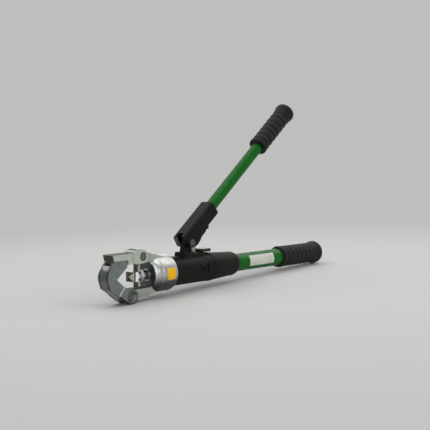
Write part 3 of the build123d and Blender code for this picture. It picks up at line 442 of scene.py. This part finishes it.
# %% Machined metal
def machined(name, colour, shade, gloss, grain_size):
    """Bare metal with a fine grain, cloudy tone and rubbed edges."""
    made = Finish(name)
    tree = made.tree
    smudges = made.group(smudge_group, Size=6.0)
    grain = made.group(grain_group, Size=grain_size)
    wear = made.group(wear_group, Reach=0.4)
    toned = mix(tree, smudges, colour, shade)
    rubbed = mix(tree, calc(tree, "MULTIPLY", wear, 0.6), toned, (0.85, 0.85, 0.83, 1))
    made.set(Base_Color=rubbed, Metallic=1.0)
    made.set(Roughness=span(tree, grain, 0.3, 0.7, gloss, gloss + 0.12))
    made.bump(grain, 0.008)
    finishes[name] = made
    return made


machined("pin_steel", (0.22, 0.22, 0.21, 1), (0.12, 0.12, 0.115, 1), 0.18, 0.3)
machined("clip_steel", (0.13, 0.13, 0.125, 1), (0.08, 0.08, 0.076, 1), 0.36, 0.3)
machined("ram_steel", (0.60, 0.61, 0.59, 1), (0.36, 0.35, 0.31, 1), 0.24, 0.35)
machined("polished_steel", (0.42, 0.42, 0.40, 1), (0.32, 0.32, 0.30, 1), 0.12, 0.2)
machined("spring_steel", (0.40, 0.41, 0.41, 1), (0.28, 0.29, 0.29, 1), 0.28, 0.2)
DARK = (0.115, 0.106, 0.090, 1), (0.070, 0.064, 0.055, 1), 0.30, 0.4
machined("dark_steel", *DARK)
machined("bronze", (0.55, 0.34, 0.13, 1), (0.36, 0.21, 0.08, 1), 0.30, 0.3)
machined("zinc_plate", (0.78, 0.83, 0.88, 1), (0.60, 0.65, 0.70, 1), 0.34, 0.3)
point = machined("indenter_steel", (0.60, 0.60, 0.57, 1), (0.46, 0.455, 0.42, 1), 0.36, 0.35)
# The face that looks forward is painted dark brown: painted shade.
point.over(point.looks((-1, 0, 0), 0.8), (0.085, 0.076, 0.062, 1))
sides = point.flats(0.9)
point.over(sides, (0.13, 0.125, 0.11, 1))
# The band that the guide rubs is worn; the facet that looks this way is painted bright as a painted
# highlight.
GUIDE_EDGE, HIGHLIGHT_FACET = (26.6, 27.2), (-0.93, -0.36, 0.0)
guide_rub_and_facet_highlight = span(point.tree, point.place["X"], GUIDE_EDGE[0] * MM, GUIDE_EDGE[1] * MM)
guide_rub_and_facet_highlight = calc(point.tree, "MULTIPLY", sides, guide_rub_and_facet_highlight)
guide_rub_and_facet_highlight = calc(point.tree, "MAXIMUM", guide_rub_and_facet_highlight, point.looks(HIGHLIGHT_FACET, 0.97, 0.02))
point.over(guide_rub_and_facet_highlight, (0.92, 0.92, 0.87, 1))
point.set(Metallic=span(point.tree, guide_rub_and_facet_highlight, 0, 1, 1.0, 0.3))
bar = machined("crosshead_steel", *DARK)
bar.over(bar.flats(0.9), (0.50, 0.50, 0.47, 1))
lever = machined("lever_steel", (0.060, 0.058, 0.052, 1), (0.036, 0.035, 0.032, 1), 0.30, 0.4)
# The top near the end is painted bright: a painted highlight.
top_end_highlight = calc(lever.tree, "MULTIPLY", lever.looks((0, 0, 1), 0.8), lever.within(X=(170.0, 200.0)))
lever.over(top_end_highlight, (0.46, 0.46, 0.43, 1))
print("finishes so far:", len(finishes))

# %% [markdown]
# ## Paint, rubber and film
# The pump body has a flat black paint with a fine pebbled skin, thin along its edges, and the
# tubes a glossy green enamel with a slight orange peel. The grips are moulded rubber, which is
# never quite black. The patch and the plate are thin plain films. The handle's socket has its own
# copy of the black paint, chipped to bare metal on the front of one arm.

# %% Coated and moulded finishes
def coated(name, colour, shade, gloss, peel, depth, worn):
    """Paint, rubber or film: cloudy tone, a pebbled skin and edges worn to another colour."""
    made = Finish(name)
    tree = made.tree
    smudges = made.group(smudge_group, Size=18.0)
    grain = made.group(grain_group, Size=peel)
    wear = made.group(wear_group, Reach=0.8)
    toned = mix(tree, smudges, colour, shade)
    made.set(Base_Color=mix(tree, calc(tree, "MULTIPLY", wear, 0.7), toned, worn))
    made.set(Roughness=span(tree, smudges, 0, 1, gloss, gloss + 0.12))
    made.bump(grain, depth)
    finishes[name] = made
    return made


for name in ("black_paint", "socket_paint"):
    black = coated(name, (0.0045, 0.0045, 0.004, 1), (0.008, 0.008, 0.007, 1), 0.40, 0.6, 0.03,
                   (0.055, 0.054, 0.050, 1))
    black.set(Specular_IOR_Level=0.12)
ARM_FRONT = (-0.84, 0.0, -0.54)
far_arm = calc(black.tree, "MULTIPLY", black.looks(ARM_FRONT, 0.97, 0.02), black.within(Y=(5.0, 12.0)))
chipped = calc(black.tree, "MULTIPLY", black.group(smudge_group, Size=2.5), 0.35)
rubbed = calc(black.tree, "MAXIMUM", chipped, black.group(wear_group, Reach=1.0))
bare_edge = calc(black.tree, "MULTIPLY", far_arm, rubbed)
black.over(bare_edge, (0.55, 0.53, 0.46, 1))
black.set(Metallic=bare_edge)
green = coated("green_paint", (0.0, 0.112, 0.005, 1), (0.0, 0.088, 0.004, 1), 0.30, 2.2, 0.010,
               (0.01, 0.18, 0.02, 1))
green.set(Specular_IOR_Level=0.08, Coat_Weight=0.22, Coat_Roughness=0.14)
rubber = coated("grip_rubber", (0.008, 0.008, 0.0075, 1), (0.014, 0.014, 0.013, 1), 0.48, 0.5, 0.04,
                (0.028, 0.028, 0.026, 1))
rubber.set(Specular_IOR_Level=0.14, Sheen_Weight=0.02, Sheen_Roughness=0.5)
coated("seal_rubber", (0.015, 0.015, 0.015, 1), (0.025, 0.025, 0.025, 1), 0.55, 0.4, 0.02,
       (0.03, 0.03, 0.03, 1))
yellow = coated("yellow_film", (0.93, 0.50, 0.002, 1), (0.86, 0.43, 0.002, 1), 0.40, 1.2, 0.006,
                (0.95, 0.62, 0.05, 1))
yellow.set(Specular_IOR_Level=0.2)
coated("white_film", (0.60, 0.60, 0.55, 1), (0.50, 0.50, 0.45, 1), 0.34, 1.2, 0.006, (0.68, 0.68, 0.64, 1))
print("finishes:", sorted(finishes))

# %% [markdown]
# ## Dressing the solids
# Each solid arrives with a plain material that is named after its slot, so the finish of the same
# name takes its place. Machined edges are never truly sharp, so on the simpler pieces a chain of
# modifiers welds the imported mesh, clears the flat faces of needless triangles, rounds the edges
# and evens out the shading. The mesh underneath stays as it was. Pieces with many bores and thin
# lands keep the edges of their solids, because there a rounding would fold faces over each other,
# and the worn edges of their finish catch the light instead.

# %% Finishes and soft edges
EDGE_MM = {
    "latch": 0.3, "yoke": 0.12, "crosshead_bar": 0.12, "ram_nut": 0.17, "release_lever": 0.08,
    "rear_sleeve": 0.4, "rear_collar": 0.3, "release_nose": 0.4, "latch_pin": 0.2, "yoke_pin": 0.2,
    "fixed_tube": 0.3, "relief_plug": 0.25, "bracket_screws": 0.15,
}
WELD_MM, EDGE_STEPS = 0.005, 3
FLAT_DEGREES, SHARP_DEGREES = 0.5, 50.0


def soften(solid, width):
    """Round the edges of a solid by width millimetres, without touching its mesh."""
    weld = solid.modifiers.new("weld", "WELD")
    weld.merge_threshold = WELD_MM * MM
    flatten = solid.modifiers.new("flatten", "DECIMATE")
    flatten.decimate_type = "DISSOLVE"
    flatten.angle_limit = math.radians(FLAT_DEGREES)
    bevel = solid.modifiers.new("round", "BEVEL")
    bevel.width = width * MM
    bevel.segments = EDGE_STEPS
    bevel.limit_method = "ANGLE"
    bevel.angle_limit = math.radians(SHARP_DEGREES)
    bevel.use_clamp_overlap = False
    even = solid.modifiers.new("even", "WEIGHTED_NORMAL")
    even.keep_sharp = False


OWN_FINISH = {
    "ram_nut": "zinc_plate", "indenter": "indenter_steel", "release_lever": "lever_steel",
    "crosshead_bar": "crosshead_steel", "handle_socket": "socket_paint", "release_nose": "black_paint",
    "relief_plug": "black_paint", "roll_pin": "black_paint", "pivot_clips": "clip_steel",
}
for name, solid in nodes.items():
    slot = solid.material_slots[0]
    slot.material = finishes[OWN_FINISH.get(name, slot.material.name)].material
    if name in EDGE_MM:
        soften(solid, EDGE_MM[name])
print("dressed", len(nodes), "solids, softened", len(EDGE_MM))

# %% [markdown]
# ## Coil springs
# The tool hides five springs: one draws the ram back, two close the pump's check valves, one loads
# the relief valve and one lifts the release stem. As solids they are plain tubes, so here each gets
# its wire. A curve with a round bevel would do, but a mesh written ring by ring lets the end turns
# lie closed, as they are on a real spring, and a mesh can be pressed together. Two of the springs
# ride on a moving piece and get a mesh of their own.

# %% A maker of coils
END_TURNS, STEPS, SIDES = 0.75, 40, 10


def add_coil(shaper, start, along, outer, wire, turns):
    """Add one coil to a mesh: where it starts, the way it runs, its outer radius and its wire."""
    axis = along.normalized()
    side = axis.orthogonal().normalized()
    other = axis.cross(side)
    rise, closed = along.length - wire, END_TURNS * wire
    pitch = (rise - 2 * closed) / (turns - 2 * END_TURNS)
    around = [2 * math.pi * k / SIDES for k in range(SIDES)]
    rings = []
    for step in range(round(turns * STEPS) + 1):
        turn = step / STEPS
        height = max(min(turn * wire, closed + (turn - END_TURNS) * pitch), rise - (turns - turn) * wire)
        angle = 2 * math.pi * turn
        out = side * math.cos(angle) + other * math.sin(angle)
        middle = start + axis * (wire / 2 + height) + out * (outer - wire / 2)
        spokes = [(out * math.cos(a) + axis * math.sin(a)) * wire / 2 for a in around]
        rings.append([shaper.verts.new(middle + spoke) for spoke in spokes])
    for one, two in zip(rings, rings[1:]):
        for k in range(SIDES):
            face = shaper.faces.new((one[k], one[k - 1], two[k - 1], two[k]))
            face.smooth = True
    shaper.faces.new(rings[0])
    shaper.faces.new(reversed(rings[-1]))


def spring(node, body, *coils):
    """A piece with one or more coils, in place of a node."""
    mesh = bpy.data.meshes.new(node + "_wire")
    shaper = bmesh.new()
    for coil in coils:
        add_coil(shaper, *coil)
    bmesh.ops.recalc_face_normals(shaper, faces=shaper.faces)
    shaper.to_mesh(mesh)
    shaper.free()
    mesh.materials.append(finishes["spring_steel"].material)
    piece = bpy.data.objects.new(node + "_wire", mesh)
    scene.collection.objects.link(piece)
    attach(piece, body)
    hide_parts(node)
    return piece


print("spring maker ready")

# %% [markdown]
# The box of each spring's solid gives its ends and its outer radius, so a wire always fills the room
# that its solid holds. Thickness of wire and number of turns come from how such springs are made: a
# strong one to draw the ram back, fine ones behind the valve balls. The ram's spring rides on the
# ram, and the one round the release stem on the stem.

# %% Springs in their places
RAM_COIL, STEM_COIL = (2.6 * MM, 5.0), (0.8 * MM, 6.0)
CHECK_COIL, RELIEF_COIL = (0.75 * MM, 5.0), (0.55 * MM, 3.0)

low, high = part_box("ram_spring")
length = high.x - low.x
ram_wire = spring("ram_spring", "ram", (Vector((low.x, 0, 0)), Vector((length, 0, 0)), high.z, *RAM_COIL))
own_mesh(ram_wire)

low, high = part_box("release_spring")
middle, length = (low + high) / 2, high.z - low.z
foot = Vector((middle.x, middle.y, low.z))
stem_wire = spring("release_spring", "release_stem", (foot, Vector((0, 0, length)), high.y, *STEM_COIL))
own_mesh(stem_wire)

low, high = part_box("check_springs")
middle, outer = (low + high) / 2, high.y
CHECK_SPAN = ((116.0, 123.15), (160.5, 166.51))
spring("check_springs", "pump", *(
    (Vector((first * MM, middle.y, middle.z)), Vector(((last - first) * MM, 0, 0)), outer, *CHECK_COIL)
    for first, last in CHECK_SPAN
))

low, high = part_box("relief_spring")
middle = (low + high) / 2
seat = Vector((middle.x, low.y, middle.z))
spring("relief_spring", "pump", (seat, Vector((0, high.y - low.y, 0)), (high.x - low.x) / 2, *RELIEF_COIL))

# %% [markdown]
# ## A plain studio
# A pale floor and soft lamps keep the eye on the tool. It lies on the knuckle of its yoke and the
# end of its fixed grip, which hang at different heights, so the floor leans a little to meet both.
# Far away the floor fades into the pale grey of the world, and no horizon shows.

# %% Floor
low_front, low_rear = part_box("yoke")[0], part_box("fixed_grip")[0]
FRONT_REST, REAR_REST = Vector((0.017, 0, low_front.z)), Vector((0.490, 0, low_rear.z))
lean = math.atan2(REAR_REST.z - FRONT_REST.z, REAR_REST.x - FRONT_REST.x)
FLOOR_RADIUS, FLOOR_GAP = 12.0, 0.0002
FLOOR_COLOUR = (0.58, 0.58, 0.57, 1)
BACKDROP = (0.52, 0.52, 0.515, 1)
FADE_MIDDLE, FADE_START, FADE_END = (0.2, 0.0, 0.0), 0.45, 1.3


def seen_rays(tree):
    """1 for what the camera sees directly, in a mirror or through glass, and 0 for other light."""
    path = add(tree, "LightPath").outputs
    seen = calc(tree, "MAXIMUM", path["Is Camera Ray"], path["Is Glossy Ray"])
    return calc(tree, "MAXIMUM", seen, path["Is Transmission Ray"])


floor_mesh = bpy.data.meshes.new("floor")
shaper = bmesh.new()
bmesh.ops.create_circle(shaper, cap_ends=True, segments=128, radius=FLOOR_RADIUS)
shaper.to_mesh(floor_mesh)
shaper.free()
floor = bpy.data.objects.new("floor", floor_mesh)
floor.location = FRONT_REST - Vector((0, 0, FLOOR_GAP))
floor.rotation_euler = (0, -lean, 0)
scene.collection.objects.link(floor)

floor_paint = bpy.data.materials.new("floor_paint")
floor_paint.use_nodes = True
tree = floor_paint.node_tree
matt = tree.nodes["Principled BSDF"]
feed(tree, matt.inputs["Base Color"], FLOOR_COLOUR)
feed(tree, matt.inputs["Roughness"], 0.9)
feed(tree, matt.inputs["Specular IOR Level"], 0.1)
reach = add(tree, "VectorMath", add(tree, "TexCoord").outputs["Object"], FADE_MIDDLE)
reach.operation = "DISTANCE"
far = add(tree, "MapRange", reach.outputs["Value"], FADE_START, FADE_END, 0.0, 1.0)
far.interpolation_type = "SMOOTHSTEP"
pale = add(tree, "Emission", BACKDROP, 1.0)
joined = add(tree, "MixShader", calc(tree, "MULTIPLY", far.outputs[0], seen_rays(tree)))
feed(tree, joined.inputs[1], matt.outputs[0])
feed(tree, joined.inputs[2], pale.outputs[0])
feed(tree, tree.nodes["Material Output"].inputs["Surface"], joined.outputs[0])
floor_mesh.materials.append(floor_paint)
print("floor leans", round(math.degrees(lean), 2), "degrees")

# %% [markdown]
# ## The world
# The world around the scene both shows and lights. Its pale grey is what the camera and the shiny
# pieces see. As a light it would be too strong and would flatten the shadows, so for all other rays
# it is turned down.

# %% World
WORLD_LIGHT = 0.45

world = bpy.data.worlds.new("studio")
scene.world = world
world.use_nodes = True
tree = world.node_tree
sky = tree.nodes["Background"].inputs
feed(tree, sky["Color"], BACKDROP)
feed(tree, sky["Strength"], span(tree, seen_rays(tree), 0, 1, WORLD_LIGHT, 1.0))
print("world light", WORLD_LIGHT, "of what is seen")

# %% [markdown]
# ## Lamps
# The portrait is lit from above, so the tops of the tubes and the leaning handle carry the light
# and their lower sides fall off. One large lamp overhead does that. A key lamp high on the right
# makes the bright band along the head, two small ones on the left and beside the camera round its
# shoulder, one above the handle lays a band along its tube, and one behind picks out the edges. The
# wide fill only lifts the colours: it is kept out of the reflections, which would otherwise lose
# their dark sides.

# %% Soft lamps
TOOL_MIDDLE = Vector((0.2, 0.0, 0.08))


def soft_lamp(name, place, side, watts, mirrored=True):
    """A square area lamp that looks at the tool, and shows in shiny surfaces or not."""
    data = bpy.data.lights.new(name, "AREA")
    data.energy = watts
    data.size = side
    lamp = bpy.data.objects.new(name, data)
    lamp.location = place
    lamp.rotation_euler = (TOOL_MIDDLE - lamp.location).to_track_quat("-Z", "Y").to_euler()
    lamp.visible_glossy = mirrored
    scene.collection.objects.link(lamp)


soft_lamp("overhead", (-0.05, 0.55, 1.2), 1.5, 11.0)
soft_lamp("key", (1.15, -0.1, 1.05), 1.0, 3.8)
soft_lamp("left", (-1.25, -0.32, 0.45), 0.7, 2.2)
soft_lamp("beside_camera", (-0.75, -1.25, 0.5), 0.5, 1.3)
soft_lamp("above_handle", (0.10, -0.40, 1.2), 0.5, 1.8)
soft_lamp("behind", (1.4, 1.2, 0.6), 1.0, 2.6)
soft_lamp("fill", (1.0, -1.8, 1.0), 2.2, 25.5, mirrored=False)
